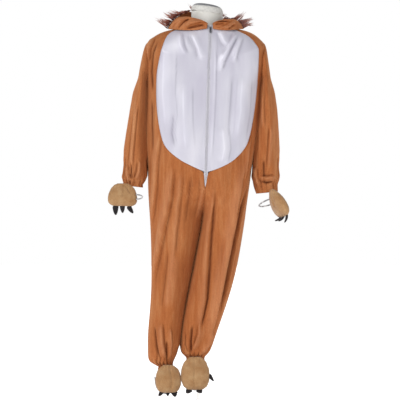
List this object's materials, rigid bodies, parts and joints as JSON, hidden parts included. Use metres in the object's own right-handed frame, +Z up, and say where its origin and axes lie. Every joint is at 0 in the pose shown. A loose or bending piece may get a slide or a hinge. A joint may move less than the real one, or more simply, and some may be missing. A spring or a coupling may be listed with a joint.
{
  "type": "lion costume on dress form stand",
  "caption": "One-piece plush lion costume with a shiny belly, zip, fur-edged hood, stuffed paws and claws, worn by a limbless dress form on a pole and round base.",
  "frame": {"origin": "centre of the round base's underside, on the floor", "axes": "+Z up along the stand; the costume faces -Y; its left as the viewer sees it is at -X"},
  "size_m": [0.7249, 0.4049, 1.6166],
  "materials": {
    "plush": "short-pile orange-brown velour",
    "satin": "shiny white velour with a lilac cast",
    "fur": "long reddish-brown pile",
    "paw_cloth": "tan brushed plush over soft stuffing",
    "felt": "black felt",
    "elastic": "woven grey-white elastic",
    "zip_tape": "white woven tape with a nylon coil",
    "zip_metal": "dark enamelled slider and pull",
    "form_cover": "pale smooth cover",
    "stand_metal": "white powder coat"
  },
  "bodies": {
    "costume": {"front_left": "plush", "front_right": "plush", "back_left": "plush", "back_right": "plush", "sleeve_left": "plush", "sleeve_right": "plush", "hood_flap_left": "plush", "hood_flap_right": "plush", "hood_left": "plush", "hood_right": "plush", "belly_left": "satin", "belly_right": "satin", "mane_left": "fur", "mane_right": "fur", "paw_left": "paw_cloth", "paw_right": "paw_cloth", "foot_left": "paw_cloth", "foot_right": "paw_cloth", "paw_left_claw_1": "felt", "paw_left_claw_2": "felt", "paw_left_claw_3": "felt", "paw_right_claw_1": "felt", "paw_right_claw_2": "felt", "paw_right_claw_3": "felt", "foot_left_claw_1": "felt", "foot_left_claw_2": "felt", "foot_left_claw_3": "felt", "foot_right_claw_1": "felt", "foot_right_claw_2": "felt", "foot_right_claw_3": "felt", "hand_loop_left": "elastic", "hand_loop_right": "elastic", "foot_strap_left": "elastic", "foot_strap_right": "elastic", "zip_tape_left": "zip_tape", "zip_tape_right": "zip_tape", "zip_teeth": "zip_tape", "zip_slider": "zip_metal", "form_torso": "form_cover", "neck_cap": "form_cover", "stand_pole": "stand_metal", "stand_base": "stand_metal"},
    "pull_tab": {"zip_pull_tab": "zip_metal"}
  },
  "joints": [
    {"name": "pull_tab_swing", "type": "hinge", "parent": "costume", "child": "pull_tab", "pos_m": [0.04972, -0.09232, 1.51273], "axis": [-1, 0, 0], "range_deg": [0, 150]}
  ]
}
